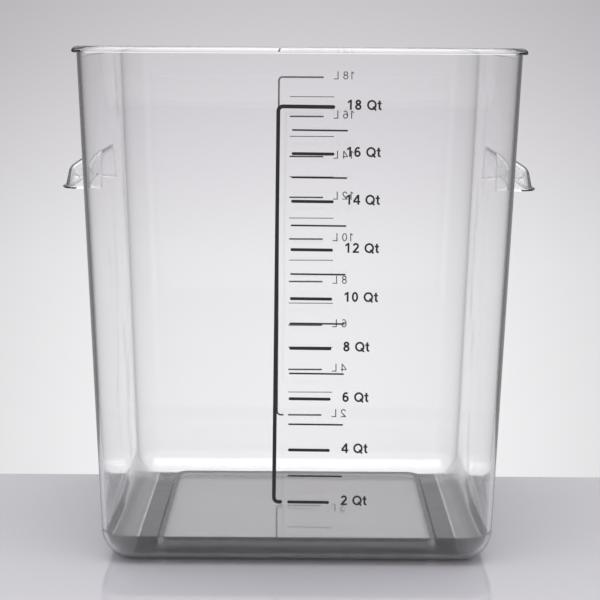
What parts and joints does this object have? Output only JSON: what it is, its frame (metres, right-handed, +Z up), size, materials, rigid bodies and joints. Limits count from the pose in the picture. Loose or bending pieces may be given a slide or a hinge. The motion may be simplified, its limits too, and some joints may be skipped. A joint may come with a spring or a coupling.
{
  "type": "dough proofing container",
  "caption": "Clear square food tub for proofing dough, with a flanged rim, two hooded side handles and printed quart and litre scales.",
  "frame": {"origin": "middle of the base, on the table plane", "axes": "+Z up, +X to the right and +Y away from the viewer, with the quart scale facing -Y and a handle on each X side"},
  "size_m": [0.3066, 0.2752, 0.318],
  "materials": {
    "clear_wall": "clear, polished",
    "clear_rim": "clear, polished",
    "clear_handle": "clear, polished",
    "front_ink": "printed ink",
    "back_ink": "printed ink"
  },
  "bodies": {
    "root": {"tub": "clear_wall", "rim": "clear_rim", "handle_left": "clear_handle", "handle_right": "clear_handle", "quart_bracket": "front_ink", "quart_even_marks": "front_ink", "quart_odd_marks": "front_ink", "quart_numerals": "front_ink", "litre_bracket": "back_ink", "litre_even_marks": "back_ink", "litre_odd_marks": "back_ink", "litre_numerals": "back_ink"}
  },
  "joints": []
}
